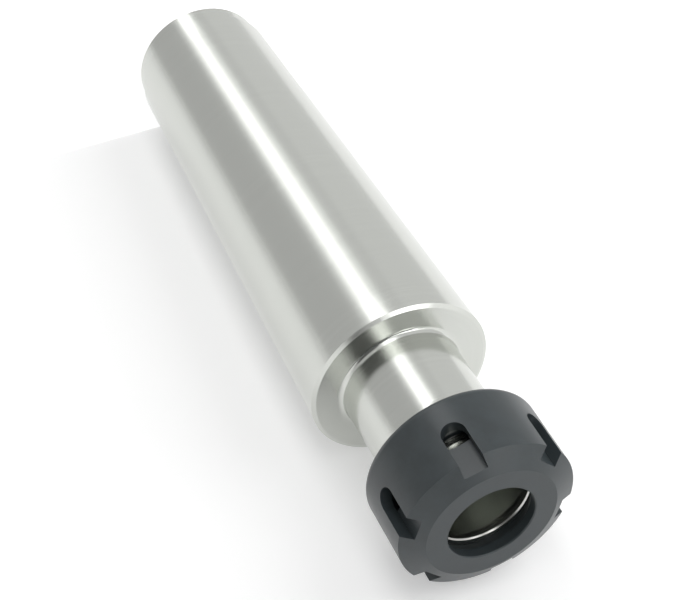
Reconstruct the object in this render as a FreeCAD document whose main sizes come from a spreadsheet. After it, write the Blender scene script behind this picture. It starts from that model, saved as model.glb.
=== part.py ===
import FreeCAD, Part
import math
import os

import Sketcher

# Collet chuck holder: a taper shank with a threaded nose, the clamping nut that screws on it, and
# the split ring that pulls the collet out. Millimetres. Every piece turns about the Z axis. The
# holder stands on its small end at Z = 0 with the nut on top.

doc = FreeCAD.newDocument("collet_chuck_holder")
sheet = doc.addObject("Spreadsheet::Sheet", "Sizes")

SIZES = [
    # taper shank, from the small end up
    ("rim_diameter", 44.7),
    ("taper_on_diameter", 0.052626),
    ("shank_length", 136.0),
    ("end_length", 5.0),
    ("end_step_width", 0.94),
    ("end_step_height", 1.2),
    ("end_edge_bevel", 0.6),
    ("rim_bevel_width", 1.0),
    ("rim_bevel_height", 0.5),
    # collet socket in the nose
    ("socket_mouth_diameter", 26.0),
    ("socket_mouth_bevel", 0.6),
    ("socket_half_angle", 8.0),
    ("socket_cone_length", 27.0),
    ("clearance_bore_diameter", 18.0),
    ("clearance_bore_length", 16.0),
    # threaded nose, drawn at the root of its M32 x 1.5 thread
    ("nose_wall", 2.1),
    ("nose_length", 12.75),
    ("nose_edge_bevel", 0.7),
    ("undercut_depth", 0.3),
    ("undercut_width", 2.0),
    # collar that the nut comes home on, and the neck below it
    ("collar_step", 0.9),
    ("collar_length", 1.35),
    ("flare_rise", 1.3),
    ("flare_length", 3.0),
    ("neck_length", 25.55),
    ("neck_root_fillet", 1.25),
    # drawbar thread in the small end, drawn at its M20 nominal diameter
    ("drawbar_thread_diameter", 20.0),
    ("drawbar_thread_length", 40.0),
    ("drawbar_mouth_bevel", 1.2),
    ("drawbar_mouth_half_angle", 30.0),
    ("drill_point_half_angle", 59.0),
    # clamping nut, from its thread out to its wall
    ("seat_gap", 0.05),
    ("running_clearance", 0.08),
    ("nut_thread_length", 6.9),
    ("nut_thread_lead_in", 0.5),
    ("cavity_step", 1.32),
    ("cavity_land", 0.5),
    ("relief_step", 1.7),
    ("nut_wall_at_relief", 2.8),
    ("nut_rear_fillet", 2.0),
    ("nose_end_gap", 0.6),
    # clamping nut, from its front bore back to the ring's groove
    ("front_bore_diameter", 20.9),
    ("front_bore_bevel", 0.25),
    ("front_bore_length", 2.4),
    ("front_ring_width", 5.25),
    ("nut_cone_height", 2.6),
    ("seat_width", 1.55),
    ("seat_half_angle", 30.0),
    ("ring_groove_step", 1.6),
    ("ring_lip_height", 0.25),
    ("ring_lip_length", 0.7),
    # spanner slots
    ("slot_count", 6),
    ("slot_width", 5.6),
    ("slot_depth", 3.2),
    ("slot_length", 13.3),
    # split eccentric extraction ring
    ("ring_thickness", 1.6),
    ("ring_play", 0.05),
    ("ring_thick_wall", 3.25),
    ("ring_thin_wall", 1.25),
    ("ring_thick_side_angle", 145.0),
    ("ring_split_width", 2.0),
    ("ring_edge_bevel", 0.3),
]
for row, (name, value) in enumerate(SIZES, start=1):
    sheet.set("A%d" % row, name)
    sheet.set("B%d" % row, str(value))
    sheet.setAlias("B%d" % row, name)
doc.recompute()

# Radii that several features share, as expressions of the sheet.
MOUTH = "Sizes.socket_mouth_diameter / 2"
THREAD_ROOT = MOUTH + " + Sizes.nose_wall"
COLLAR = THREAD_ROOT + " + Sizes.collar_step"
NECK = COLLAR + " - Sizes.flare_rise"
NUT_THREAD = THREAD_ROOT + " + Sizes.running_clearance"
CAVITY = NUT_THREAD + " + Sizes.cavity_step"
RELIEF = CAVITY + " + Sizes.relief_step"
NUT_OUTSIDE = RELIEF + " + Sizes.nut_wall_at_relief"
FRONT_BORE = "Sizes.front_bore_diameter / 2"
SEAT = FRONT_BORE + " + Sizes.seat_width"
RING_GROOVE = SEAT + " + Sizes.ring_groove_step"
RING_OUTSIDE = RING_GROOVE + " - Sizes.ring_play"

# Heights that several features share.
RIM_Z = "Sizes.shank_length"
SHOULDER_Z = RIM_Z + " + Sizes.rim_bevel_height"
COLLAR_FACE_Z = SHOULDER_Z + " + Sizes.neck_length"
NOSE_END_Z = COLLAR_FACE_Z + " + Sizes.nose_length"
NUT_REAR_Z = COLLAR_FACE_Z + " + Sizes.seat_gap"
CAVITY_END_Z = NOSE_END_Z + " + Sizes.nose_end_gap"
GROOVE_REAR_Z = CAVITY_END_Z + " + Sizes.ring_lip_length"
GROOVE_FRONT_Z = GROOVE_REAR_Z + " + Sizes.ring_thickness + 2 * Sizes.ring_play"
SEAT_FRONT_Z = GROOVE_FRONT_Z + " + Sizes.seat_width / tan(Sizes.seat_half_angle)"
NUT_FRONT_Z = SEAT_FRONT_Z + " + Sizes.front_bore_length"


def value_of(expression):
    """The number that an expression of the sheet comes to."""
    return float(sheet.evalExpression(expression))


def origin_plane(body, role):
    """One of the body's own base planes."""
    return next(item for item in body.Origin.OriginFeatures if item.Role == role)


def attach(sketch, plane):
    """Lay the sketch on a base plane."""
    sketch.AttachmentSupport = [(plane, "")]
    sketch.MapMode = "FlatFace"


def bind(sketch, kind, target, expression):
    """Add a dimension to the sketch and tie it to the sheet."""
    number = sketch.addConstraint(Sketcher.Constraint(kind, *target, value_of(expression)))
    sketch.setExpression("Constraints[%d]" % number, expression)


def place_vertex(sketch, edge, end, across, along):
    """Hold one end of an edge at two distances from the origin; "0" means on the axis itself."""
    for kind, axis_line, expression in (("DistanceX", -2, across), ("DistanceY", -1, along)):
        if expression == "0":
            sketch.addConstraint(Sketcher.Constraint("PointOnObject", edge, end, axis_line))
        else:
            bind(sketch, kind, (-1, 1, edge, end), expression)


def arc_from(start, finish, heading):
    """The arc that leaves start along heading and ends at finish, and which way it turns."""
    side = FreeCAD.Vector(-heading.y, heading.x, 0)
    chord = finish - start
    radius = chord.Length ** 2 / (2 * side.dot(chord))
    centre = start + side * radius
    first = math.atan2(start.y - centre.y, start.x - centre.x)
    last = math.atan2(finish.y - centre.y, finish.x - centre.x)
    circle = Part.Circle(centre, FreeCAD.Vector(0, 0, 1), abs(radius))
    if radius > 0:
        return Part.ArcOfCircle(circle, first, last), 1, 2
    return Part.ArcOfCircle(circle, last, first), 2, 1


def profile_sketch(body, name, plane_role, outline):
    """A closed outline of (kind, across, along) points: each is reached by a line, or by an arc
    that leaves the line before it without a corner."""
    sketch = body.newObject("Sketcher::SketchObject", name)
    attach(sketch, origin_plane(body, plane_role))
    corners = [
        FreeCAD.Vector(value_of(across), value_of(along), 0) for kind, across, along in outline
    ]
    edges = []
    for index, (kind, across, along) in enumerate(outline):
        start = corners[index - 1]
        finish = corners[index]
        if kind == "arc":
            heading = (start - corners[index - 2]).normalize()
            curve, first_end, last_end = arc_from(start, finish, heading)
        else:
            curve, first_end, last_end = Part.LineSegment(start, finish), 1, 2
        edges.append((sketch.addGeometry(curve), first_end, last_end))
    for index, (kind, across, along) in enumerate(outline):
        before = edges[index - 1]
        edge = edges[index]
        joint = "Tangent" if kind == "arc" else "Coincident"
        sketch.addConstraint(Sketcher.Constraint(joint, before[0], before[2], edge[0], edge[1]))
        place_vertex(sketch, edge[0], edge[2], across, along)
    return sketch


def turn(body, name, feature, outline):
    """Turn an outline of radii and heights once round the Z axis, to add or to cut."""
    sketch = profile_sketch(body, name + "_outline", "XZ_Plane", outline)
    turned = body.newObject(feature, name)
    turned.Profile = sketch
    turned.ReferenceAxis = (sketch, ["V_Axis"])
    turned.Angle = 360
    return turned


# ---------------------------------------------------------------------------------------------
# Holder body: turned and ground from one bar.
holder = doc.addObject("PartDesign::Body", "holder_body")
holder.Label = "holder_body"

step_top_z = "Sizes.end_length + Sizes.end_step_height"
step_top = "(Sizes.rim_diameter - (%s - (%s)) * Sizes.taper_on_diameter) / 2" % (RIM_Z, step_top_z)
end_radius = step_top + " - Sizes.end_step_width"
undercut = THREAD_ROOT + " - Sizes.undercut_depth"
undercut_end_z = COLLAR_FACE_Z + " + Sizes.undercut_width"
turn(
    holder,
    "shank_and_nose",
    "PartDesign::Revolution",
    [
        ("line", "0", "0"),
        ("line", end_radius + " - Sizes.end_edge_bevel", "0"),
        ("line", end_radius, "Sizes.end_edge_bevel"),
        ("line", end_radius, "Sizes.end_length"),
        ("line", step_top, step_top_z),
        ("line", "Sizes.rim_diameter / 2", RIM_Z),
        ("line", "Sizes.rim_diameter / 2 - Sizes.rim_bevel_width", SHOULDER_Z),
        ("line", NECK + " + Sizes.neck_root_fillet", SHOULDER_Z),
        ("arc", NECK, SHOULDER_Z + " + Sizes.neck_root_fillet"),
        ("line", NECK, COLLAR_FACE_Z + " - Sizes.collar_length - Sizes.flare_length"),
        ("arc", COLLAR, COLLAR_FACE_Z + " - Sizes.collar_length"),
        ("line", COLLAR, COLLAR_FACE_Z),
        ("line", undercut, COLLAR_FACE_Z),
        ("line", undercut, undercut_end_z + " - Sizes.undercut_depth"),
        ("line", THREAD_ROOT, undercut_end_z),
        ("line", THREAD_ROOT, NOSE_END_Z + " - Sizes.nose_edge_bevel"),
        ("line", THREAD_ROOT + " - Sizes.nose_edge_bevel", NOSE_END_Z),
        ("line", "0", NOSE_END_Z),
    ],
)

# The collet socket: a mouth bevel, the locating cone, and a plain bore that ends in a drill point.
slope = "tan(Sizes.socket_half_angle)"
bore_radius = "Sizes.clearance_bore_diameter / 2"
cone_end_z = NOSE_END_Z + " - Sizes.socket_cone_length"
bore_end_z = cone_end_z + " - Sizes.clearance_bore_length"
turn(
    holder,
    "collet_socket",
    "PartDesign::Groove",
    [
        ("line", "0", NOSE_END_Z),
        ("line", MOUTH + " + Sizes.socket_mouth_bevel", NOSE_END_Z),
        (
            "line",
            MOUTH + " - Sizes.socket_mouth_bevel * " + slope,
            NOSE_END_Z + " - Sizes.socket_mouth_bevel",
        ),
        ("line", MOUTH + " - Sizes.socket_cone_length * " + slope, cone_end_z),
        ("line", bore_radius, cone_end_z),
        ("line", bore_radius, bore_end_z),
        ("line", "0", bore_end_z + " - %s / tan(Sizes.drill_point_half_angle)" % bore_radius),
    ],
)

# The drawbar hole: a 60 degree centre mouth, the tapped length and its drill point.
tapped = "Sizes.drawbar_thread_diameter / 2"
tapped_start_z = "Sizes.drawbar_mouth_bevel / tan(Sizes.drawbar_mouth_half_angle)"
tapped_end_z = tapped_start_z + " + Sizes.drawbar_thread_length"
turn(
    holder,
    "drawbar_hole",
    "PartDesign::Groove",
    [
        ("line", "0", "0"),
        ("line", tapped + " + Sizes.drawbar_mouth_bevel", "0"),
        ("line", tapped, tapped_start_z),
        ("line", tapped, tapped_end_z),
        ("line", "0", tapped_end_z + " + %s / tan(Sizes.drill_point_half_angle)" % tapped),
    ],
)

# ---------------------------------------------------------------------------------------------
# Clamping nut: turned inside and out, then six slots are milled from the front.
nut = doc.addObject("PartDesign::Body", "clamping_nut")
nut.Label = "clamping_nut"

ring_lip = RING_GROOVE + " - Sizes.ring_lip_height"
thread_end_z = NUT_REAR_Z + " + Sizes.nut_thread_length"
relief_end_z = CAVITY_END_Z + " - Sizes.cavity_land - Sizes.relief_step"
turned_nut = turn(
    nut,
    "turned_nut",
    "PartDesign::Revolution",
    [
        ("line", NUT_THREAD + " + Sizes.nut_thread_lead_in", NUT_REAR_Z),
        ("line", NUT_OUTSIDE + " - Sizes.nut_rear_fillet", NUT_REAR_Z),
        ("arc", NUT_OUTSIDE, NUT_REAR_Z + " + Sizes.nut_rear_fillet"),
        ("line", NUT_OUTSIDE, NUT_FRONT_Z + " - Sizes.nut_cone_height"),
        ("line", FRONT_BORE + " + Sizes.front_ring_width", NUT_FRONT_Z),
        ("line", FRONT_BORE + " + Sizes.front_bore_bevel", NUT_FRONT_Z),
        ("line", FRONT_BORE, NUT_FRONT_Z + " - Sizes.front_bore_bevel"),
        ("line", FRONT_BORE, SEAT_FRONT_Z),
        ("line", SEAT, GROOVE_FRONT_Z),
        ("line", RING_GROOVE, GROOVE_FRONT_Z),
        ("line", RING_GROOVE, GROOVE_REAR_Z),
        ("line", ring_lip, GROOVE_REAR_Z),
        ("line", ring_lip, CAVITY_END_Z),
        ("line", CAVITY, CAVITY_END_Z),
        ("line", CAVITY, CAVITY_END_Z + " - Sizes.cavity_land"),
        ("line", RELIEF, relief_end_z),
        ("line", RELIEF, thread_end_z),
        ("line", NUT_THREAD, thread_end_z),
        ("line", NUT_THREAD, NUT_REAR_Z + " + Sizes.nut_thread_lead_in"),
    ],
)

# One slot, as an end mill leaves it: a round end, a flat floor and an open front. Where the relief
# inside is wider than the floor is high, the slot breaks through into a window.
half_width = "Sizes.slot_width / 2"
slot_end_z = NUT_FRONT_Z + " - Sizes.slot_length"
slot_overrun_z = NUT_FRONT_Z + " + Sizes.slot_width"
slot_sketch = profile_sketch(
    nut,
    "slot_outline",
    "YZ_Plane",
    [
        ("line", half_width, slot_overrun_z),
        ("line", "-" + half_width, slot_overrun_z),
        ("line", "-" + half_width, slot_end_z + " + " + half_width),
        ("arc", half_width, slot_end_z + " + " + half_width),
    ],
)
slot_sketch.setExpression(".AttachmentOffset.Base.z", NUT_OUTSIDE + " - Sizes.slot_depth")
slot = nut.newObject("PartDesign::Pocket", "slot")
slot.Profile = slot_sketch
slot.Reversed = True
slot.setExpression("Length", "Sizes.slot_depth + Sizes.slot_width")

slots = nut.newObject("PartDesign::PolarPattern", "slots")
slots.Originals = [slot]
slots.Axis = (turned_nut.Profile[0], ["V_Axis"])
slots.Angle = 360
slots.setExpression("Occurrences", "Sizes.slot_count")
nut.Tip = slots

# ---------------------------------------------------------------------------------------------
# Extraction ring: an off-centre bore makes it thick on one side, and it is split on the thin side
# so that it can be sprung into the nut's groove. It is drawn with its thick side along +X.
ring = doc.addObject("PartDesign::Body", "extraction_ring")
ring.Label = "extraction_ring"

ring_bore_radius = RING_OUTSIDE + " - (Sizes.ring_thick_wall + Sizes.ring_thin_wall) / 2"
ring_offset = "(Sizes.ring_thick_wall - Sizes.ring_thin_wall) / 2"
axis_up = FreeCAD.Vector(0, 0, 1)

blank_sketch = ring.newObject("Sketcher::SketchObject", "ring_blank_outline")
attach(blank_sketch, origin_plane(ring, "XY_Plane"))
blank_circle = blank_sketch.addGeometry(
    Part.Circle(FreeCAD.Vector(), axis_up, value_of(RING_OUTSIDE))
)
blank_sketch.addConstraint(Sketcher.Constraint("Coincident", blank_circle, 3, -1, 1))
bind(blank_sketch, "Radius", (blank_circle,), RING_OUTSIDE)
ring_blank = ring.newObject("PartDesign::Pad", "ring_blank")
ring_blank.Profile = blank_sketch
ring_blank.setExpression("Length", "Sizes.ring_thickness")

bore_sketch = ring.newObject("Sketcher::SketchObject", "ring_bore_outline")
attach(bore_sketch, origin_plane(ring, "XY_Plane"))
bore_centre = FreeCAD.Vector(-value_of(ring_offset), 0, 0)
bore_circle = bore_sketch.addGeometry(Part.Circle(bore_centre, axis_up, value_of(ring_bore_radius)))
bore_sketch.addConstraint(Sketcher.Constraint("PointOnObject", bore_circle, 3, -1))
bind(bore_sketch, "DistanceX", (bore_circle, 3, -1, 1), ring_offset)
bind(bore_sketch, "Radius", (bore_circle,), ring_bore_radius)
ring_bore = ring.newObject("PartDesign::Pocket", "ring_bore")
ring_bore.Profile = bore_sketch
ring_bore.Type = "ThroughAll"
ring_bore.Midplane = True

half_split = "Sizes.ring_split_width / 2"
split_outer_end = "-(%s) - Sizes.ring_split_width" % RING_OUTSIDE
split_sketch = profile_sketch(
    ring,
    "ring_split_outline",
    "XY_Plane",
    [
        ("line", split_outer_end, half_split),
        ("line", split_outer_end, "-" + half_split),
        ("line", "-(%s)" % ring_offset, "-" + half_split),
        ("line", "-(%s)" % ring_offset, half_split),
    ],
)
ring_split = ring.newObject("PartDesign::Pocket", "ring_split")
ring_split.Profile = split_sketch
ring_split.Type = "ThroughAll"
ring_split.Midplane = True
doc.recompute()

# Both edges of the bore are bevelled, so that the ring slips over the collet into its groove.
bore_edges = []
for number, edge in enumerate(ring_split.Shape.Edges, start=1):
    is_arc = isinstance(edge.Curve, Part.Circle)
    if is_arc and abs(edge.Curve.Radius - value_of(ring_bore_radius)) < 1e-6:
        bore_edges.append("Edge%d" % number)
ring_bevel = ring.newObject("PartDesign::Chamfer", "ring_bevel")
ring_bevel.Base = (ring_split, bore_edges)
ring_bevel.setExpression("Size", "Sizes.ring_edge_bevel")
ring.Tip = ring_bevel

ring.setExpression(".Placement.Base.z", GROOVE_REAR_Z + " + Sizes.ring_play")
ring.setExpression(".Placement.Rotation.Angle", "Sizes.ring_thick_side_angle")
doc.recompute()

# ---------------------------------------------------------------------------------------------
# Every object must be sound before anything is written.
pieces = [holder, nut, ring]
for item in doc.Objects:
    if "Invalid" in item.State or "Error" in item.State:
        raise RuntimeError("%s failed: %s" % (item.Label, item.State))
for item in doc.Objects:
    if item.isDerivedFrom("Sketcher::SketchObject") and item.solve() != 0:
        raise RuntimeError("%s doesn't solve" % item.Label)
for piece in pieces:
    if piece.Shape.isNull() or not piece.Shape.isValid() or len(piece.Shape.Solids) != 1:
        raise RuntimeError("%s isn't one sound solid" % piece.Label)
if not slots.Shape.Volume < turned_nut.Shape.Volume:
    raise RuntimeError("the slots cut nothing")

os.makedirs("parts", exist_ok=True)
for piece in pieces:
    piece.Shape.exportStep("parts/%s.step" % piece.Label)
    box = piece.Shape.BoundBox
    print("%-16s volume %9.1f mm3, Z %.2f to %.2f" % (piece.Label, piece.Shape.Volume, box.ZMin, box.ZMax))
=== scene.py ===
import math

import bpy
from mathutils import Matrix, Vector


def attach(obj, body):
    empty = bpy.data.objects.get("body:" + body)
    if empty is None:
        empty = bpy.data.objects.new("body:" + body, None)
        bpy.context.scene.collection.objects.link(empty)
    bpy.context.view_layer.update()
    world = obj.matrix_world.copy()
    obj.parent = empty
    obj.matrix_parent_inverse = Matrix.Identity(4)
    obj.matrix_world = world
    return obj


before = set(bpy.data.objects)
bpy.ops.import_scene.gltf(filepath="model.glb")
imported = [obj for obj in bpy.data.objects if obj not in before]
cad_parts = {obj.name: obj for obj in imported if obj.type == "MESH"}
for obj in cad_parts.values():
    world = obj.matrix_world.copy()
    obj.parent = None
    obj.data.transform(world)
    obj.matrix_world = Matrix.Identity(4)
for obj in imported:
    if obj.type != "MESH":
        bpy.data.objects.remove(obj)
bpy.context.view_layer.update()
MM = 0.001

# ---------------------------------------------------------------------------------------------
# The camera looks steeply down on the threaded end from about 0.4 m and is rolled, so that the
# holder lies across the view on its side, as on a bench, with the nut nearest.
aim = Vector((0.0, 0.2, 107.5)) * MM
camera_distance = 401.6 * MM
camera_bearing = math.radians(8.79)
camera_elevation = math.radians(41.45)
camera_roll = math.radians(147.69)
towards_camera = Vector(
    (
        math.cos(camera_elevation) * math.cos(camera_bearing),
        math.cos(camera_elevation) * math.sin(camera_bearing),
        math.sin(camera_elevation),
    )
)
bpy.ops.object.camera_add(location=aim + towards_camera * camera_distance)
camera = bpy.context.object
upright = towards_camera.to_track_quat("Z", "Y").to_matrix()
camera.rotation_euler = (upright @ Matrix.Rotation(camera_roll, 3, "Z")).to_euler()
camera.data.sensor_width = 36.0
camera.data.lens = 84.8
camera.data.clip_start = 0.01
bpy.context.scene.camera = camera
bpy.context.scene.view_settings.view_transform = "Standard"


# ---------------------------------------------------------------------------------------------
# The holder is hardened alloy steel, turned all over, with the taper, the neck and the collet
# socket ground afterwards. It is one piece with its shank, neck and threaded nose.
RIM_Z = 136.0 * MM
NOSE_END_Z = 174.8 * MM


def linear(colour):
    """Linear RGBA of an sRGB hex colour."""
    channels = [int(colour[i : i + 2], 16) / 255 for i in (1, 3, 5)]
    return [c / 12.92 if c <= 0.04045 else ((c + 0.055) / 1.055) ** 2.4 for c in channels] + [1.0]


def add_node(tree, kind, settings, sockets):
    """Add a shader node, then set or link its sockets by name or number."""
    new = tree.nodes.new("ShaderNode" + kind)
    for name, value in settings.items():
        setattr(new, name, value)
    for name, value in sockets.items():
        if isinstance(value, bpy.types.NodeSocket):
            tree.links.new(value, new.inputs[name])
        else:
            new.inputs[name].default_value = value
    return new


def calculate(tree, operation, *values, clamp=False):
    """The result of one Math node."""
    settings = {"operation": operation, "use_clamp": clamp}
    return add_node(tree, "Math", settings, dict(enumerate(values))).outputs[0]


def new_material(name):
    """An empty node material with its output node."""
    material = bpy.data.materials.new(name)
    material.use_nodes = True
    material.node_tree.nodes.clear()
    return material, material.node_tree, material.node_tree.nodes.new("ShaderNodeOutputMaterial")


def turned_coordinates(tree):
    """Object coordinates, with the distance from the axis and the height, in metres."""
    place = add_node(tree, "TexCoord", {}, {}).outputs["Object"]
    split = add_node(tree, "SeparateXYZ", {}, {"Vector": place})
    flat = add_node(tree, "CombineXYZ", {}, {"X": split.outputs["X"], "Y": split.outputs["Y"]})
    length = add_node(tree, "VectorMath", {"operation": "LENGTH"}, {0: flat.outputs[0]})
    return place, length.outputs["Value"], split.outputs["Z"]


def tool_marks(tree, place, radius, height, spacing, breakup):
    """Noise drawn out round the axis, as a turning tool or a grinding wheel leaves it. It follows
    the radius on a face and the height on a wall; breakup is how long one mark runs."""
    across = add_node(
        tree,
        "CombineXYZ",
        {},
        {
            "X": calculate(tree, "MULTIPLY", radius, 1 / spacing),
            "Y": calculate(tree, "MULTIPLY", height, 1 / spacing),
        },
    )
    along = add_node(
        tree, "VectorMath", {"operation": "SCALE"}, {0: place, "Scale": 1 / breakup}
    )
    both = add_node(
        tree, "VectorMath", {"operation": "ADD"}, {0: across.outputs[0], 1: along.outputs[0]}
    )
    return add_node(
        tree, "TexNoise", {}, {"Vector": both.outputs[0], "Scale": 1.0, "Detail": 2.0}
    ).outputs["Fac"]


# Ground hardened steel: a light, slightly warm grey metal. The wheel's marks run round the axis,
# so reflections stay sharp across them and stretch along it. The real marks are some 0.05 mm
# apart and are drawn at 0.3 mm so that they show.
ground_steel, tree, output = new_material("ground_hardened_steel")
place, radius, height = turned_coordinates(tree)
marks = tool_marks(tree, place, radius, height, 0.3 * MM, 30 * MM)
steel_colour = add_node(
    tree,
    "Mix",
    {"data_type": "RGBA"},
    {"Factor": marks, "A": linear("#cbcdc8"), "B": linear("#d2d4cf")},
)
steel_roughness = add_node(tree, "MapRange", {}, {"Value": marks, "To Min": 0.15, "To Max": 0.21})
steel_bump = add_node(
    tree, "Bump", {}, {"Height": marks, "Strength": 0.05, "Distance": 0.02 * MM}
)
round_axis = add_node(tree, "Tangent", {"direction_type": "RADIAL", "axis": "Z"}, {})
steel = add_node(
    tree,
    "BsdfPrincipled",
    {},
    {
        "Base Color": steel_colour.outputs["Result"],
        "Metallic": 1.0,
        "Roughness": steel_roughness.outputs["Result"],
        "Anisotropic": 0.4,
        "Tangent": round_axis.outputs[0],
        "Normal": steel_bump.outputs[0],
    },
)
tree.links.new(steel.outputs[0], output.inputs["Surface"])
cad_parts["holder_body"].material_slots[0].material = ground_steel

# ---------------------------------------------------------------------------------------------
# The nose thread is M32 x 1.5, right-handed, cut in the same steel. The solid stops at the
# thread's root, and this ridge winds up it from the undercut to the bevel on the nose's end.
def wind_thread(name, foot, crest, foot_width, crest_width, pitch, first_z, last_z):
    """A right-handed ridge from its foot's radius to its crest's, closed at both ends."""
    bpy.ops.object.select_all(action="DESELECT")
    bpy.ops.mesh.primitive_plane_add(
        size=1.0, location=((foot + crest) / 2, 0, first_z), rotation=(math.pi / 2, 0, 0)
    )
    ridge = bpy.context.object
    ridge.name = name
    ridge.scale = (abs(crest - foot), foot_width, 1.0)
    bpy.ops.object.transform_apply(location=True, rotation=True, scale=True)
    for vertex in ridge.data.vertices:
        vertex.select = abs(vertex.co.x - crest) < 1e-6
    for group in (ridge.data.edges, ridge.data.polygons):
        for item in group:
            item.select = all(ridge.data.vertices[i].select for i in item.vertices)
    bpy.ops.object.mode_set(mode="EDIT")
    bpy.ops.transform.resize(
        value=(1, 1, crest_width / foot_width), center_override=(crest, 0, first_z)
    )
    bpy.ops.mesh.select_all(action="SELECT")
    bpy.ops.mesh.delete(type="ONLY_FACE")
    bpy.ops.object.mode_set(mode="OBJECT")
    screw = ridge.modifiers.new("wind", "SCREW")
    screw.screw_offset = pitch
    screw.iterations = round((last_z - first_z) / pitch)
    screw.steps = 72
    screw.render_steps = 72
    screw.use_merge_vertices = True
    screw.merge_threshold = 1e-6
    bpy.ops.object.modifier_apply(modifier=screw.name)
    bpy.ops.object.mode_set(mode="EDIT")
    bpy.ops.mesh.select_mode(type="EDGE")
    bpy.ops.mesh.select_all(action="DESELECT")
    bpy.ops.mesh.select_non_manifold()
    bpy.ops.mesh.edge_face_add()
    bpy.ops.mesh.select_all(action="SELECT")
    bpy.ops.mesh.normals_make_consistent(inside=False)
    bpy.ops.object.mode_set(mode="OBJECT")
    return ridge


def trim_radius(piece, trimmed):
    """Cut a turned piece back to trimmed(radius, height)."""
    for vertex in piece.data.vertices:
        reach = vertex.co.xy.length
        vertex.co.xy *= trimmed(reach, vertex.co.z) / reach
    piece.data.update()


nose_root = 15.1 * MM
nose_crest = 16.0 * MM
nose_pitch = 1.5 * MM
nose_foot_width = 1.34 * MM
nose_crest_width = 0.19 * MM
nose_thread_start = 164.05 * MM
run_in = 0.5 * MM
end_bevel = 0.75 * MM
bury = 0.1 * MM
nose_thread = wind_thread(
    "nose_thread",
    nose_root - bury,
    nose_crest,
    nose_foot_width,
    nose_crest_width,
    nose_pitch,
    nose_thread_start - run_in,
    NOSE_END_Z,
)
trim_radius(
    nose_thread,
    lambda reach, z: min(
        reach,
        max(nose_root - bury, nose_root + (z - nose_thread_start)),
        nose_root - end_bevel + (NOSE_END_Z - z),
    ),
)
bpy.ops.object.shade_smooth_by_angle(angle=math.radians(25))
nose_thread.data.materials.append(ground_steel)
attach(nose_thread, "holder")

# ---------------------------------------------------------------------------------------------
# The drawbar thread is M20 x 2.5, tapped in the small end. The solid's hole is at the thread's
# nominal diameter, so this ridge stands inwards from its wall and starts behind the mouth bevel.
drawbar_wall = 10.0 * MM
drawbar_crest = 8.65 * MM
drawbar_pitch = 2.5 * MM
drawbar_foot_width = 2.3 * MM
drawbar_crest_width = 0.62 * MM
drawbar_start = 1.5 * MM
drawbar_end = 39.0 * MM
mouth_radius = 11.2 * MM
mouth_slope = math.tan(math.radians(30))
drawbar_thread = wind_thread(
    "drawbar_thread",
    drawbar_wall + bury,
    drawbar_crest,
    drawbar_foot_width,
    drawbar_crest_width,
    drawbar_pitch,
    drawbar_start,
    drawbar_end,
)
trim_radius(drawbar_thread, lambda reach, z: max(reach, mouth_radius - z * mouth_slope))
bpy.ops.object.shade_smooth_by_angle(angle=math.radians(25))
drawbar_thread.data.materials.append(ground_steel)
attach(drawbar_thread, "holder")

# ---------------------------------------------------------------------------------------------
# The extraction ring is turned from spring steel and left bright. It snaps into the collet's
# groove and sits in its own groove in the nut.
spring_steel, tree, output = new_material("bright_spring_steel")
place, radius, height = turned_coordinates(tree)
marks = tool_marks(tree, place, radius, height, 0.25 * MM, 20 * MM)
ring_bump = add_node(tree, "Bump", {}, {"Height": marks, "Strength": 0.1, "Distance": 0.02 * MM})
ring_roughness = add_node(tree, "MapRange", {}, {"Value": marks, "To Min": 0.18, "To Max": 0.3})
ring_colour = add_node(
    tree,
    "Mix",
    {"data_type": "RGBA"},
    {"Factor": marks, "A": linear("#c3c3bf"), "B": linear("#cfcfcc")},
)
ring_metal = add_node(
    tree,
    "BsdfPrincipled",
    {},
    {
        "Base Color": ring_colour.outputs["Result"],
        "Metallic": 1.0,
        "Roughness": ring_roughness.outputs["Result"],
        "Normal": ring_bump.outputs[0],
    },
)
tree.links.new(ring_metal.outputs[0], output.inputs["Surface"])
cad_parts["extraction_ring"].material_slots[0].material = spring_steel

# ---------------------------------------------------------------------------------------------
# The clamping nut is turned steel with a black oxide finish: a thin bluish black film, oiled to a
# satin gloss that clouds over a few millimetres.
black_oxide, tree, output = new_material("black_oxide_steel")
place, radius, height = turned_coordinates(tree)
nut_marks = tool_marks(tree, place, radius, height, 0.35 * MM, 12 * MM)
oil = add_node(
    tree, "TexNoise", {}, {"Vector": place, "Scale": 1 / (4 * MM), "Detail": 4.0, "Roughness": 0.6}
)
film_colour = add_node(
    tree,
    "Mix",
    {"data_type": "RGBA"},
    {"Factor": oil.outputs["Fac"], "A": linear("#2c3133"), "B": linear("#3a4245")},
)
film_roughness = add_node(
    tree, "MapRange", {}, {"Value": oil.outputs["Fac"], "To Min": 0.26, "To Max": 0.42}
)
nut_bump = add_node(
    tree, "Bump", {}, {"Height": nut_marks, "Strength": 0.15, "Distance": 0.02 * MM}
)
film = add_node(
    tree,
    "BsdfPrincipled",
    {},
    {
        "Base Color": film_colour.outputs["Result"],
        "Roughness": film_roughness.outputs["Result"],
        "IOR": 1.5,
        "Normal": nut_bump.outputs[0],
    },
)
tree.links.new(film.outputs[0], output.inputs["Surface"])
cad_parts["clamping_nut"].material_slots[0].material = black_oxide

# ---------------------------------------------------------------------------------------------
# The bench lies along the holder's side: a white sheet that touches the taper along one line and
# takes the shadow. Its back lets everything through, so that it never hides the holder.
taper_half_angle = math.atan(0.052626 / 2)
bench_bearing = math.radians(-13.26)
bench_up = Vector(
    (
        math.cos(taper_half_angle) * math.cos(bench_bearing),
        math.cos(taper_half_angle) * math.sin(bench_bearing),
        math.sin(taper_half_angle),
    )
)
rim_radius = 22.35 * MM
touch = Vector(
    (-rim_radius * math.cos(bench_bearing), -rim_radius * math.sin(bench_bearing), RIM_Z)
)


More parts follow.
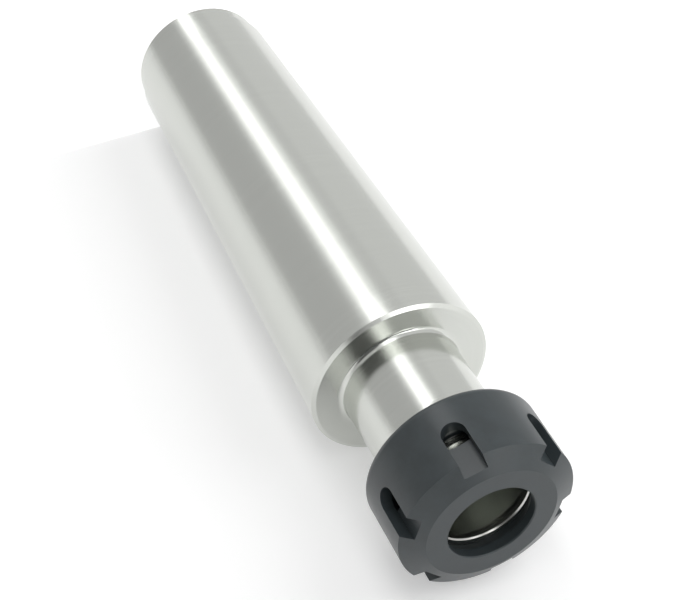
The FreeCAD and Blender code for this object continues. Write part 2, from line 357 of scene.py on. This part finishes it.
def stage_material(name, glow, colour, one_sided=False):
    """White sheet: the camera, glossy and transmission rays see glow added to the lit colour."""
    material, tree, output = new_material(name)
    rays = add_node(tree, "LightPath", {}, {})
    seen = rays.outputs["Is Camera Ray"]
    for kind in ("Is Glossy Ray", "Is Transmission Ray"):
        seen = calculate(tree, "MAXIMUM", seen, rays.outputs[kind])
    glowing = add_node(
        tree, "Emission", {}, {"Strength": calculate(tree, "MULTIPLY", seen, glow)}
    )
    lit = add_node(tree, "BsdfDiffuse", {}, {"Color": linear(colour)})
    sheet = add_node(tree, "AddShader", {}, {0: glowing.outputs[0], 1: lit.outputs[0]})
    if one_sided:
        back = add_node(tree, "NewGeometry", {}, {}).outputs["Backfacing"]
        clear = add_node(tree, "BsdfTransparent", {}, {})
        sheet = add_node(
            tree, "MixShader", {}, {0: back, 1: sheet.outputs[0], 2: clear.outputs[0]}
        )
    tree.links.new(sheet.outputs[0], output.inputs["Surface"])
    return material


bpy.ops.object.select_all(action="DESELECT")
bpy.ops.mesh.primitive_plane_add(
    size=2.4, location=touch, rotation=bench_up.to_track_quat("Z", "Y").to_euler()
)
bench = bpy.context.object
bench.name = "bench"
bpy.ops.object.transform_apply(location=True, rotation=True, scale=True)
bench.data.materials.append(stage_material("white_bench", 0.32, "#e8e8e8", one_sided=True))

# The floor is a white disc under the small end. Steel doesn't mirror it.
bpy.ops.object.select_all(action="DESELECT")
bpy.ops.mesh.primitive_circle_add(vertices=96, radius=1.2, fill_type="NGON")
floor = bpy.context.object
floor.name = "floor"
floor.data.materials.append(stage_material("white_floor", 0.7, "#e8e8e8"))
floor.visible_glossy = False
floor.visible_diffuse = False
floor.visible_shadow = False

# ---------------------------------------------------------------------------------------------
# Lights: a white room, a tall strip lamp that draws the long bright line on the steel, a lamp
# over the nut for its front faces, a wide soft lamp from the side for the shadow, and grey
# screens that the steel mirrors as darker bands.
world = bpy.data.worlds.new("white_room")
bpy.context.scene.world = world
world.use_nodes = True
world.node_tree.nodes.clear()
tree = world.node_tree
rays = add_node(tree, "LightPath", {}, {})
seen = rays.outputs["Is Camera Ray"]
for kind in ("Is Glossy Ray", "Is Transmission Ray"):
    seen = calculate(tree, "MAXIMUM", seen, rays.outputs[kind])
room_light = 0.5
strength = calculate(tree, "MULTIPLY_ADD", seen, 1.0 - room_light, room_light)
background = add_node(tree, "Background", {}, {"Strength": strength})
add_node(tree, "OutputWorld", {}, {"Surface": background.outputs[0]})


def aim_at_holder(obj, bearing, elevation, distance):
    """Stand a lamp or a screen off the holder's middle, facing it and upright."""
    direction = Vector(
        (
            math.cos(elevation) * math.cos(bearing),
            math.cos(elevation) * math.sin(bearing),
            math.sin(elevation),
        )
    )
    obj.location = Vector((0, 0, 0.09)) + direction * distance
    obj.rotation_euler = direction.to_track_quat("Z", "Y").to_euler()


def lamp(name, bearing, elevation, distance, width, height, radiance):
    """A rectangular lamp of a given brightness."""
    data = bpy.data.lights.new(name, "AREA")
    data.shape = "RECTANGLE"
    data.size = width
    data.size_y = height
    data.energy = radiance * math.pi * width * height
    obj = bpy.data.objects.new(name, data)
    bpy.context.scene.collection.objects.link(obj)
    aim_at_holder(obj, math.radians(bearing), math.radians(elevation), distance)
    obj.visible_camera = False
    return obj


def screen(name, bearing, elevation, distance, width, height, grey):
    """A flat screen that only steel and other glossy surfaces see."""
    material, tree, output = new_material(name)
    glow = add_node(tree, "Emission", {}, {"Strength": grey})
    tree.links.new(glow.outputs[0], output.inputs["Surface"])
    bpy.ops.object.select_all(action="DESELECT")
    bpy.ops.mesh.primitive_plane_add(size=1.0)
    card = bpy.context.object
    card.name = name
    card.scale = (width, height, 1.0)
    aim_at_holder(card, math.radians(bearing), math.radians(elevation), distance)
    card.data.materials.append(material)
    card.visible_camera = False
    card.visible_diffuse = False
    card.visible_shadow = False
    card.visible_transmission = False


lamp("strip_lamp", -8.5, 0, 0.9, 0.32, 4.0, 1.8)
lamp("front_lamp", -76, 65, 0.9, 0.4, 0.4, 1.8)
side_lamp = lamp("side_lamp", -62, 8, 1.0, 0.9, 0.9, 2.0)
side_lamp.visible_glossy = False
screen("grey_screen", 40.5, 0, 1.0, 1.13, 6.0, 0.57)
screen("pale_screen", -35, 0, 1.1, 0.3, 6.0, 0.72)
screen("dark_screen", 37, 58, 0.8, 0.54, 0.82, 0.12)
